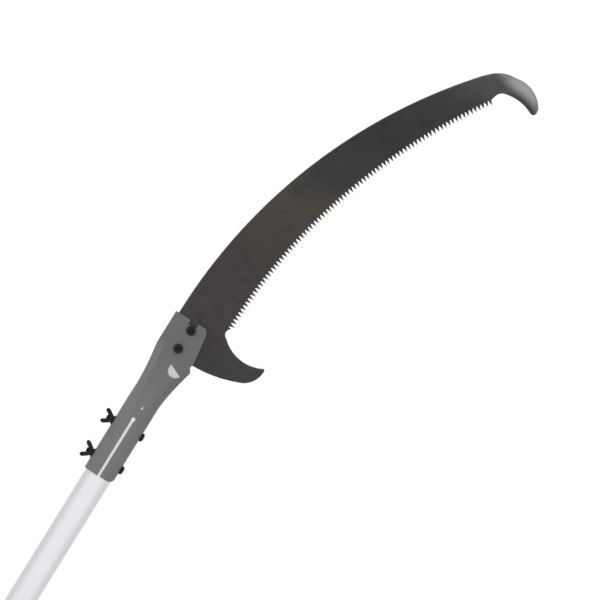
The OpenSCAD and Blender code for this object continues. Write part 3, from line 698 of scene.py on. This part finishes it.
def makeBlade(v):
    loop, bevel, shine, toothCentre, first, stepAngle, teeth, spin, tipAt = bladeOutline(v)
    low, high = loop.min(0), loop.max(0)
    ahead = np.roll(loop, -1, 0) - np.roll(loop, 1, 0)
    ahead /= np.linalg.norm(ahead, axis=1)[:, None]
    inward = np.stack([ahead[:, 1], -ahead[:, 0]], -1)          # the loop runs clockwise
    coarse = lattice(low, high, 3.1)
    fine = lattice(low, high, 0.9)                              # the hooks' curved bevels need more points
    hooks = (fine[:, 1] > high[1] - 95) | ((fine[:, 1] < v["heelAt"] + 16) & (fine[:, 0] > loop[0, 0] + 26))
    fine = fine[hooks]
    grids = np.concatenate([coarse, fine])
    grids = grids[inside(grids, loop)]
    gap, _ = nearest(grids, loop)
    grids = grids[gap > 2.4]
    rings = []
    for d in (v["spineBevel"], 1.1, 1.9):
        row = loop + inward * d
        gap, _ = nearest(row, loop)
        rings.append(row[(gap > d * 0.93) & inside(row, loop)])
    holes = [(x, h, bladeBolt["hole"]) for x, h in bladeBolt["places"]]
    inner = np.concatenate(rings + [grids])
    for hole in holes:
        inner = inner[np.linalg.norm(inner - np.array(hole[:2]), axis=1) > hole[2] + 0.8]
    flat, triangles = sheet(loop, holes, inner)
    a, b, c = (flat[triangles[:, k]] for k in range(3))
    area = np.cross(b - a, c - a)
    triangles[area < 0] = triangles[area < 0][:, ::-1]

    gap, (width, bright) = nearest(flat, loop, bevel, shine)
    half = v["thickness"] / 2
    land = np.where(width > 1.0, v["edgeLand"], half - 0.22)
    t = np.clip(gap / width, 0, 1)
    y = land + (half - land) * (1 - (1 - t) ** 1.25)
    # painted edge highlights along the outline and the tip's painted light and shade
    paintedLightAndWear = bright * (1 - np.clip((gap / width - 0.82) / 0.3, 0, 1)) + tipShade(v, (flat - tipAt) @ spin.T)
    n = len(flat)
    front = np.stack([flat[:, 0], -y, flat[:, 1]], -1)
    back = np.stack([flat[:, 0], y, flat[:, 1]], -1)
    rim = borders(triangles)
    walls = np.stack([rim[:, 0], rim[:, 0] + n, rim[:, 1] + n, rim[:, 1]], -1)
    faces = triangles.tolist() + (triangles[:, ::-1] + n).tolist() + walls.tolist()
    toothPoints, toothFaces = bladeTeeth(v, toothCentre, first, stepAngle, teeth)
    points, faces = joined((np.concatenate([front, back]), faces), (toothPoints, toothFaces))
    points = points * mm + np.array([0, 0, rimZ])
    piece = addPiece("sawBlade", points, faces, "bladeSteel", "saw_head", "saw_blade", 14)
    layer = piece.data.attributes.new("paintedLightAndWear", "FLOAT", "POINT")
    # the tooth tips a little lighter: wear and painted sheen
    wearAndSheen = np.tile([0, 0.15, 0, 0, 0.15, 0], teeth)
    layer.data.foreach_set("value", np.concatenate([paintedLightAndWear, paintedLightAndWear, wearAndSheen]).astype(np.float32))


bladeBolt = dict(places=[(1.4, 149.5), (2.9, 171.3)], radius=3.0, head=4.75, headHeight=3.3, pitch=1.0,
                 washer=6.0, washerThick=1.6, nutFlats=10.0, nutHeight=5.0, tail=1.5, hole=3.05, gap=0.05,
                 rolls=[0.3, 1.0])
makeBlade(blade)
print("saw blade is made")


socket = dict(
    radius=16.1, wall=2.0, roundLength=88.0, pinchLength=55.0, flatHalf=2.9, foldShift=3.4,
    slitWidth=3.2, slitLength=66.0, slitAt=0.8, slitHole=2.5, smallHole=1.5, smallHoleAt=(3.2, 80.2),
    notchWidth=9.0, notchDepth=5.0, notchAt=1.4, notchCorner=1.5, rimCorner=5.0, rimRound=0.3)


def socketSection(v, u, angle, inset):
    # a round-ended section of constant girth: u = 0 is the round tube, u = 1 the flat
    girth = tau * (v["radius"] - v["wall"] / 2)
    b = v["radius"] + (v["flatHalf"] - v["radius"]) * u ** 1.7
    bMid = b - v["wall"] / 2
    a = (girth - tau * bMid) / 4 + bMid + v["wall"] / 2
    x = v["foldShift"] * u + (a - b) * np.tanh(np.cos(angle) * 9) + (b - inset) * np.cos(angle)
    y = (b - inset) * np.sin(angle)
    return x, y


def dentShape(v, x, h):
    # 1 inside the D, 0 outside
    tilt = math.radians(v["tilt"])
    dx, dh = x - v["at"][0], h - v["at"][1]
    along = (dx * math.cos(tilt) + dh * math.sin(tilt)) / v["halfLength"]
    under = v["flat"] - (dh * math.cos(tilt) - dx * math.sin(tilt))
    belly = (1 - np.sqrt(along ** 2 + (under / v["belly"]) ** 2)) * v["belly"]
    s = np.clip(np.minimum(under / 1.1, belly / 2.2), 0, 1)
    return s * s * (3 - 2 * s)


def makeSocket(v):
    segments = 224
    top = (socketHigh.z - rimZ) / mm
    flatAt = v["roundLength"] + v["pinchLength"]
    heights = np.concatenate([
        [0, 0.25, 0.6], np.linspace(2, v["roundLength"], 24),
        np.linspace(v["roundLength"] + 1, flatAt, 56), np.linspace(flatAt + 0.7, top - 0.6, 30),
        [top - 0.25, top]])
    u = np.clip((heights - v["roundLength"]) / v["pinchLength"], 0, 1)[:, None]
    angle = (np.arange(segments) * tau / segments)[None, :]
    shells = []
    for inset in (0.0, v["wall"]):
        x, y = socketSection(v, u, angle, inset)
        h = heights[:, None] * np.ones((1, segments))
        y = np.where(np.sin(angle) < -0.2, y + dent["depth"] * dentShape(dent, x, h), y)
        shells.append(np.stack([x, y, h], -1).reshape(-1, 3))
    count = len(heights)
    outer, inner = rows(count, segments), rows(count, segments, count * segments)
    faces = band(outer[:-1], outer[1:]) + band(inner[:-1], inner[1:], True)
    faces += band(outer[0], inner[0], True) + band(outer[-1], inner[-1])
    points = np.concatenate(shells) * mm + np.array([0, 0, rimZ])
    piece = addPiece("headSocket", points, faces, "socketPaint", "saw_head", "head_socket", 30)
    outward(piece.data)
    cutters = socketCutters(v, top, flatAt)
    for cutter in cutters:
        cutAway(piece, cutter)
    piece.data = baked(piece)
    for cutter in cutters:
        bpy.data.objects.remove(cutter)
    shade(piece.data, 30)
    softEdges(piece, v["rimRound"], 2, 50)


def prism(name, outline, low, high):
    # an outline in (x, height) mm carried along Y from low to high
    outline = np.asarray(outline, float)
    n = len(outline)
    near = np.stack([outline[:, 0], np.full(n, low), outline[:, 1]], -1)
    far = near + [0, high - low, 0]
    nearRow, farRow = rows(2, n)
    faces = [nearRow, farRow[::-1]] + band(nearRow, farRow, True)
    mesh = meshOf(name, np.concatenate([near, far]) * mm + [0, 0, rimZ], faces)
    outward(mesh)
    return linked(name, mesh)


def socketCutters(v, top, flatAt):
    r = v["radius"]
    right = socketHigh.x / mm + 2.0
    half = v["slitWidth"] / 2
    # the section keeps its girth, so what it loses in thickness it gains in width
    flatRight = v["foldShift"] + tau * (r - v["flatHalf"]) / 4 + v["flatHalf"]
    meet = math.degrees(math.acos(half / v["slitHole"]))        # where the slit's sides meet its end hole
    slitEnd = arc((0, v["slitLength"]), v["slitHole"], -meet, 180 + meet, 24)
    slit = np.concatenate([[[-half, -2], [half, -2]], slitEnd]) + [v["slitAt"], 0]
    small = arc(v["smallHoleAt"], v["smallHole"], 0, 345, 24)
    corner = np.concatenate([[[r + 3, -3], [r + 3, v["rimCorner"]]],
                             arc((r - v["rimCorner"], v["rimCorner"]), v["rimCorner"], 0, -90, 10),
                             [[r - v["rimCorner"], -3]]])
    side = np.concatenate([
        [[right + 9, flatAt - 14], [flatRight - 2.4, flatAt - 9], [flatRight - 5.4, flatAt - 4],
         [flatRight - 4.6, flatAt + 2], [flatRight - 8.4, top - 6]],
        [[flatRight - 9.6, top - 3.4], [flatRight - 12.6, top + 1], [right + 9, top + 1]]])
    n0, n1 = v["notchAt"] - v["notchWidth"] / 2, v["notchAt"] + v["notchWidth"] / 2
    c = v["notchCorner"]
    foot = top - v["notchDepth"] + c
    notch = np.concatenate([[[n1, top + 1], [n0, top + 1]], arc((n0 + c, foot), c, 180, 270, 6),
                            arc((n1 - c, foot), c, 270, 360, 6)])
    return [prism("cutterSlit", slit, -r - 5, -2), prism("cutterSmall", small, -r - 5, -2),
            prism("cutterCorner", corner, -r - 5, r + 5), prism("cutterSide", side, -r - 5, r + 5),
            prism("cutterNotch", notch, -r - 5, r + 5)]


makeSocket(socket)
print("socket is made")


def threadedRod(radius, pitch, length):
    # a screw thread as a height over a cylinder: the radius falls and rises once a pitch along a helix
    depth = 0.55                                                # share of the pitch
    segments = 40
    count = max(4, int(length / pitch * 10))
    z = np.linspace(0, length, count)[:, None]
    a = (np.arange(segments) * tau / segments)[None, :]
    phase = np.mod(z / pitch - a / tau, 1.0)
    ridge = 1 - np.abs(2 * phase - 1)
    taper = np.clip((length - z) / (0.8 * pitch), 0, 1)
    r = radius - depth * pitch * (1 - np.clip(ridge * 1.25, 0, 1) * taper)
    return polar(r, a, z), gridFaces(count, segments) + caps(count, segments)


def domedHead(radius, height, recess, segments=64):
    # a button head: a dome over polar rings with a six-sided or cross recess pressed into its crown
    t = np.concatenate([np.linspace(0, 0.62, 30), np.linspace(0.65, 1, 14)])[:, None]
    a = (np.arange(segments) * tau / segments)[None, :]
    r = radius * t
    z = height * (1 - 0.42 * t ** 2.2) * np.ones_like(a)
    if recess == "hex":
        wall = 0.40 * radius / np.cos(np.mod(a + tau / 12, tau / 6) - tau / 12)
        pressed = np.clip((wall - r) / (0.05 * radius), 0, 1) * height * 0.62
    else:
        across = np.minimum(np.abs(r * np.cos(a)), np.abs(r * np.sin(a)))
        arms = np.clip((0.13 * radius - across) / (0.05 * radius), 0, 1)
        pressed = arms * np.clip((0.58 * radius - r) / (0.1 * radius), 0, 1) * height * 0.5
    z = z - pressed
    crown = polar(r, a, z)[segments - 1:]                       # the first ring is the crown's middle point
    crown[0] = [0, 0, float(z[0, 0])]
    ring = rows(len(t) + 1, segments, 1)                        # dome rings, then the skirt and the foot
    fan = np.stack([np.zeros(segments, int), ring[0], np.roll(ring[0], -1)], -1)
    faces = fan.tolist() + band(ring[:-1], ring[1:]) + [ring[-1]]
    points = np.concatenate([crown, polar(radius, a, 0.25), polar(0.94 * radius, a, 0)])
    return points, faces


def ringSolid(inner, outer, thick, edge=0.15, segments=64, radiusOf=None):
    # a washer: a rectangle with bevelled corners carried round the bolt
    profile = [(inner, edge), (inner + edge, 0), (outer - edge, 0), (outer, edge), (outer, thick - edge),
               (outer - edge, thick), (inner + edge, thick), (inner, thick - edge), (inner, edge)]
    return turned(profile, segments, radiusOf)


def hexOf(flats):
    # turns a circle of radius flats / 2 into a hexagon with slightly rounded corners
    def shape(angle, r, h):
        wall = flats / 2 / np.cos(np.mod(angle + tau / 12, tau / 6) - tau / 12)
        return np.where(r > flats / 2 * 0.8, np.minimum(wall, flats / 2 * 1.135) * (r / (flats / 2)), r)
    return shape


def placed(part, origin, direction, roll=0.0):
    # stands a part made along Z at a point, with Z along direction
    z = np.array(direction, float)
    x = np.array([0, 1.0, 0]) if abs(z[1]) < 0.5 else np.array([1.0, 0, 0])
    y = np.cross(z, x)
    c, s = math.cos(roll), math.sin(roll)
    return posed(part[0], origin, c * x + s * y, c * y - s * x, z), part[1]


def addGroup(name, parts, material, body, node, crease=35):
    # several parts in mm as one piece
    points, faces = joined(*parts)
    piece = addPiece(name, points * mm, faces, material, body, node, crease)
    outward(piece.data)
    shade(piece.data, crease)
    return piece


def makeBladeBolts(v):
    # each bolt runs back from its head through the flat, a washer and a nut
    seat = socket["flatHalf"] + v["gap"]
    nutFrom = seat + v["washerThick"] + v["gap"]
    end = nutFrom + v["nutHeight"] + v["tail"]
    forward, backward = (0, -1, 0), (0, 1, 0)
    head = domedHead(v["head"], v["headHeight"], "hex")
    shank = turned([(v["radius"], 0), (v["radius"], nutFrom + seat + 1)], 40)
    thread = threadedRod(v["radius"], v["pitch"], end - nutFrom - 1)
    washer = ringSolid(v["hole"], v["washer"], v["washerThick"])
    nut = ringSolid(v["hole"], v["nutFlats"] / 2, v["nutHeight"], 0.5, 96, hexOf(v["nutFlats"]))
    bolts, washers, nuts = [], [], []
    for (x, h), roll in zip(v["places"], v["rolls"]):
        z = rimZ / mm + h
        bolts.append(placed(head, (x, -seat, z), forward, roll))
        bolts.append(placed(shank, (x, -seat, z), backward))
        bolts.append(placed(thread, (x, nutFrom + 1, z), backward))
        washers.append(placed(washer, (x, seat, z), backward))
        nuts.append(placed(nut, (x, nutFrom, z), backward, roll))
    addGroup("bladeBolts", bolts, "blackOxide", "saw_head", "blade_bolts")
    addGroup("bladeWashers", washers, "blackOxide", "saw_head", "blade_washers")
    addGroup("bladeNuts", nuts, "blackOxide", "saw_head", "blade_nuts")


makeBladeBolts(bladeBolt)

clampBolt = dict(places=dict(lower=16.0, upper=54.5), radius=2.5, head=4.5, headHeight=3.3, pitch=0.8,
                 washerOuter=5.0, washerThick=1.0, gap=0.05, hole=2.53)


def makeClampBolts(v):
    seat = socket["radius"] + v["gap"]
    for name, h in v["places"].items():
        node = "clamp_bolt_" + name
        end = -boxOf(node)[0][0]
        right, left = (seat, 0, rimZ / mm + h), (-seat, 0, rimZ / mm + h)
        head = placed(domedHead(v["head"], v["headHeight"], "cross"), right, (1, 0, 0), 0.5)
        shank = placed(turned([(v["radius"], 0), (v["radius"], 2 * seat)], 40), right, (-1, 0, 0))
        thread = placed(threadedRod(v["radius"], v["pitch"], end - seat), left, (-1, 0, 0))
        addGroup("clampBolt" + name.title(), [head, shank, thread], "blackOxide", "saw_head", node)
        washer = placed(ringSolid(v["hole"], v["washerOuter"], v["washerThick"]), left, (-1, 0, 0))
        addGroup("wingWasher" + name.title(), [washer], "blackOxide", "wing_washer_%s_body" % name,
                 "wing_washer_" + name)


makeClampBolts(clampBolt)

wingNut = dict(turn=dict(lower=24.0, upper=34.0), span=20.0, bossRadius=3.9, bossHeight=4.0, lean=52.0,
               wingWidth=4.6, wingThick=2.6, voxel=0.22)


def wingLoft(v, side):
    # a wing: an oval section carried from the boss outwards and up, wider and rounder towards its tip
    lean = math.radians(v["lean"])
    rootAt = (1.6, 0.6)
    length = (v["span"] / 2 - v["wingWidth"] / 2 - rootAt[0]) / math.cos(lean) + v["wingWidth"] / 2
    count, segments = 26, 32
    t = np.linspace(0, 1, count)[:, None]
    a = (np.arange(segments) * tau / segments)[None, :]
    along = t * length
    bulge = np.sqrt(np.clip(1 - np.clip((t - 0.74) / 0.26, 0, 1) ** 2, 0.0004, 1))
    wide = (0.44 + 0.10 * t) * v["wingWidth"] * bulge
    thick = (0.62 - 0.12 * t) * v["wingThick"] * bulge
    offset = wide * np.sign(np.cos(a)) * np.abs(np.cos(a)) ** 0.8
    x = rootAt[0] + along * math.cos(lean) - offset * math.sin(lean)
    z = np.maximum(rootAt[1] + along * math.sin(lean) + offset * math.cos(lean), 0.0)
    y = thick * np.sign(np.sin(a)) * np.abs(np.sin(a)) ** 0.8
    points = np.stack([side * x, side * y, z * np.ones_like(a)], -1).reshape(-1, 3)
    return points, gridFaces(count, segments) + caps(count, segments)


def makeWingNut(v, name):
    # boss and wings are cast in one: the parts are fused by a fine remesh, then drilled
    h = rimZ / mm + clampBolt["places"][name]
    seat = socket["radius"] + 2 * clampBolt["gap"] + clampBolt["washerThick"]
    r, top = v["bossRadius"], v["bossHeight"]
    boss = turned([(0.01, 0), (r - 0.3, 0), (r, 0.3), (r, 1.2), (r - 0.5, 2.0), (r - 0.6, top - 0.4),
                   (r - 0.9, top), (0.01, top)], 64)
    nut = addGroup("wingNut" + name.title(), [boss, wingLoft(v, 1), wingLoft(v, -1)], "blackOxide",
                   "wing_nut_%s_body" % name, "wing_nut_" + name)
    fuse = nut.modifiers.new("fuse", "REMESH")
    fuse.mode = "VOXEL"
    fuse.voxel_size = v["voxel"] * mm
    even = nut.modifiers.new("even", "SMOOTH")
    even.iterations = 3
    hole = turned([(clampBolt["hole"], -2), (clampBolt["hole"], 12)], 40)
    cutter = linked("cutterHole", meshOf("cutterHole", hole[0] * mm, hole[1]))
    cutAway(nut, cutter)
    mesh = baked(nut)
    bpy.data.objects.remove(cutter)
    turn = math.radians(v["turn"][name])
    # local Z leaves the socket along -X; the wings, along local X, stand up the pole, turned about the bolt
    xAxis = np.array([0, -math.sin(turn), math.cos(turn)])
    zAxis = np.array([-1.0, 0, 0])
    flat = np.zeros(len(mesh.vertices) * 3)
    mesh.vertices.foreach_get("co", flat)
    moved = posed(flat.reshape(-1, 3), (-seat * mm, 0, h * mm), xAxis, np.cross(zAxis, xAxis), zAxis)
    mesh.vertices.foreach_set("co", moved.ravel())
    nut.data = mesh
    shade(mesh, 55)


for wingName in ("lower", "upper"):
    makeWingNut(wingNut, wingName)
print("head fasteners are made")


# each tube with its name, its body and its groove's radius
pole = dict(wall=1.5, grooveY=19.0, rimRound=0.3, tubes=[
    ("inner_tube", "innerTube", "saw_head", 6.5), ("middle_tube", "middleTube", "middle_section", 4.6),
    ("outer_tube", "outerTube", "outer_section", 2.7)])


def tubeRadius(angle, radius, groove, grooveY):
    # distance from the pole's axis to a round outline with a circular groove at +Y
    offset = np.abs(np.mod(angle - tau / 4 + math.pi, tau) - math.pi)
    under = np.clip(groove ** 2 - (grooveY * np.sin(offset)) ** 2, 0, None)
    near = grooveY * np.cos(offset) - np.sqrt(under)
    cut = (under > 0) & (offset < 1) & (near < radius)
    return np.where(cut, near, radius)


def makeTube(v, node, name, body, groove):
    # the wall's section, (inset, height) with its rims softened, carried round the grooved outline
    low, high, centre = boxOf(node)
    bottom, top, soft, wall = low[2], high[2], v["rimRound"], v["wall"]
    section = np.array([
        (0, bottom + soft), (0, centre[2]), (0, top - soft), (soft, top), (wall - soft, top),
        (wall, top - soft), (wall, bottom + soft), (wall - soft, bottom), (soft, bottom), (0, bottom + soft)])
    segments = 288
    angle = np.arange(segments) * tau / segments
    inset, z = section[:, :1], section[:, 1:]
    r = tubeRadius(angle, high[0] - inset, groove + inset, v["grooveY"])
    part = polar(r, angle, z), gridFaces(len(section), segments)
    addGroup(name, [part], "drawnAluminium", body, node, 30)


for tube in pole["tubes"]:
    makeTube(pole, *tube)
print("tubes are made")


grip = dict(outer=22.0, bandOuter=23.2, bandHeight=8.0, grooves=4, grooveStep=7.0, grooveRadius=1.3,
            ribs=48, ribDepth=0.45, ribFrom=50.0)


def makeGrip(v):
    low, high, _ = boxOf("hand_grip")
    length = high[2] - low[2]
    inner = boxOf("outer_tube")[1][0] + 0.05
    # heights along the grip, dense where a ring groove lies and over the band's rounded edges
    places = [s * length + (1 - 2 * s) * (v["bandHeight"] + (i + 1) * v["grooveStep"])
              for s in (0, 1) for i in range(v["grooves"])]
    heights = [np.linspace(0, length - v["bandHeight"] - 0.4, 120)]
    across = v["grooveRadius"] * np.sin(np.linspace(-math.pi / 2, math.pi / 2, 11))
    heights += [place + across for place in places]
    heights += [np.linspace(0, 1.2, 7), np.linspace(v["ribFrom"] - 3, v["ribFrom"] + 3, 9),
                np.linspace(length - v["ribFrom"] - 3, length - v["ribFrom"] + 3, 9)]
    z = np.unique(np.round(np.concatenate(heights), 3))
    r = np.full(len(z), v["outer"])
    for place in places:
        r = r - np.sqrt(np.clip(v["grooveRadius"] ** 2 - (z - place) ** 2, 0, None))
    r = r - (1 - np.sqrt(np.clip(1 - np.clip(1 - z, 0, 1) ** 2, 0, 1)))
    body = list(zip(r, z))
    bend = np.radians(np.linspace(0, 90, 6))
    foot, crown, outer = length - v["bandHeight"], length, v["bandOuter"]
    body += [(outer - 0.5 + 0.5 * math.sin(b), foot + 0.5 - 0.5 * math.cos(b)) for b in bend]
    body += [(outer - 1 + math.cos(b), crown - 1 + math.sin(b)) for b in bend]
    profile = [(inner, 0.0)] + body + [(inner, crown), (inner, 0.0)]

    def ribbed(angle, radius, height):
        # shallow lengthwise ribs over the grip's middle, fading out at both ends
        over = np.clip((height - v["ribFrom"]) / 3, 0, 1)
        over = over * np.clip((length - v["ribFrom"] - height) / 3, 0, 1)
        wave = 0.5 - 0.5 * np.cos(angle * v["ribs"])
        return radius - np.where(radius > inner + 1, over * v["ribDepth"] * wave ** 2, 0)

    points, faces = turned(profile, 288, ribbed)
    addGroup("handGrip", [(points + [0, 0, low[2]], faces)], "softRubber", "outer_section", "hand_grip")


def makeRivets(side):
    # blind rivets with a mandrel pit in the crown, one on each flank of the collar
    _, high, centre = boxOf(side + "_collar_rivets")
    head = 1.3
    profile = [(1.6, -4.3), (1.6, 0), (3.05, 0), (3.25, 0.2), (3.15, 0.5), (2.7, 0.9), (2.0, 1.17),
               (1.2, head), (0.95, 1.26), (0.85, 1.05), (0.8, 0.5), (0.01, 0.45)]
    rivet = turned(profile, 56)
    parts = [placed(rivet, (s * (high[0] - head), 0, centre[2]), (s, 0, 0)) for s in (-1, 1)]
    addGroup(side + "CollarRivets", parts, "rivetAluminium", carrier[side], side + "_collar_rivets")


crossBolt = dict(radius=2.5, pitch=0.8, threadFrom=4.0)
thumbNut = dict(head=8.0, neck=5.0, neckHeight=1.5, height=8.0, lobes=8, scallop=2.2, bore=2.55)
carrier = dict(lower="outer_section", upper="middle_section")


def onBolt(part, node, y):
    # a part made along Z stands on its node's own axis, along +Y from y
    centre = boxOf(node)[2]
    return placed(part, (centre[0], y, centre[2]), (0, 1, 0))


def makeCrossBolt(v, side):
    node = side + "_cross_bolt"
    low, high, _ = boxOf(node)
    r, threadFrom = v["radius"], v["threadFrom"]
    shank = turned([(r - 0.3, 0), (r, 0.3), (r, threadFrom - low[1])], 48)
    thread = threadedRod(r, v["pitch"], high[1] - threadFrom)
    parts = [onBolt(shank, node, low[1]), onBolt(thread, node, threadFrom)]
    addGroup(side + "CrossBolt", parts, "zincPlate", carrier[side], node)


def makeNutWasher(side):
    node = side + "_nut_washer"
    low, high, centre = boxOf(node)
    ring = ringSolid(crossBolt["radius"] + 0.05, high[0] - centre[0], high[1] - low[1], 0.18)
    addGroup(side + "NutWasher", [onBolt(ring, node, low[1])], "zincPlate", side + "_washer", node)


def makeThumbNut(v, side):
    node = side + "_thumb_nut"
    head, neck, bore, top, foot = v["head"], v["neck"], v["bore"], v["height"], v["neckHeight"]
    reach = head + 1                                            # how far out the scallops' centres lie

    def lobed(angle, radius, height):
        # round scallops cut into the head's edge, the corners between them softened
        off = np.mod(angle + math.pi / v["lobes"], tau / v["lobes"]) - math.pi / v["lobes"]
        under = np.clip(v["scallop"] ** 2 - (reach * np.sin(off)) ** 2, 0, None)
        near = np.where(under > 0, reach * np.cos(off) - np.sqrt(under), 9.5)
        limit = -np.log(np.exp(-5 * head) + np.exp(-5 * near)) / 5
        share = np.clip((radius - neck) / (head - neck), 0, 1)
        return np.where(radius > neck + 0.01, neck + share * (limit - neck), radius)

    profile = [
        (bore, 0.3), (bore + 0.3, 0), (neck - 0.3, 0), (neck, 0.3), (neck, foot), (head - 0.9, foot),
        (head - 0.25, foot + 0.3), (head, foot + 0.9), (head, top - 1.2), (head - 0.25, top - 0.5),
        (head - 0.9, top - 0.1), (head - 1.6, top), (neck + 0.1, top), (neck - 0.4, top - 0.5),
        (bore + 0.9, top - 0.5), (bore + 0.7, top), (bore + 0.3, top), (bore, top - 0.3), (bore, 0.3)]
    nut = onBolt(turned(profile, 192, lobed), node, boxOf(node)[0][1])
    addGroup(side + "ThumbNut", [nut], "leverNylon", side + "_nut", node, 45)


makeGrip(grip)
refined("butt_cap", "buttCap", "softRubber", "outer_section", 0.9, 3)
refined("inner_guide_bush", "innerGuideBush", "bushPlastic", "saw_head", 0.3)
refined("middle_guide_bush", "middleGuideBush", "bushPlastic", "middle_section", 0.3)
for side in ("lower", "upper"):
    refined(side + "_collar", side + "Collar", "glassNylon", carrier[side], 0.7, 3)
    refined(side + "_cam_lever", side + "CamLever", "leverNylon", side + "_lever", 0.9, 3)
    refined(side + "_cam_saddle", side + "CamSaddle", "zincPlate", carrier[side], 0.25)
    refined(side + "_barrel_pin", side + "BarrelPin", "zincPlate", carrier[side], 0.35)
    makeRivets(side)
    makeCrossBolt(crossBolt, side)
    makeNutWasher(side)
    makeThumbNut(thumbNut, side)
print("clamps, grip and bushes are made")


def floorPaint(place):
    base = place.noise(3.0, 4.0).mix(gray(0.83), gray(0.86))
    return {"Base Color": base, "Roughness": 0.6 + 0.1 * place.noise(40, 2.0)}


def makeFloor():
    # a disc of 6 m radius at the model's lowest point: the lathe's one ring of faces, without its caps
    points, faces = turned([(0.01, 0), (6.0, 0)], 96)
    mesh = meshOf("floor", points + np.array([0, 0, cadLow.z]), faces[:96])
    mesh.materials.append(finish("paleFloor", floorPaint))
    floor = linked("floor", mesh)


makeFloor()

print("all pieces are made")
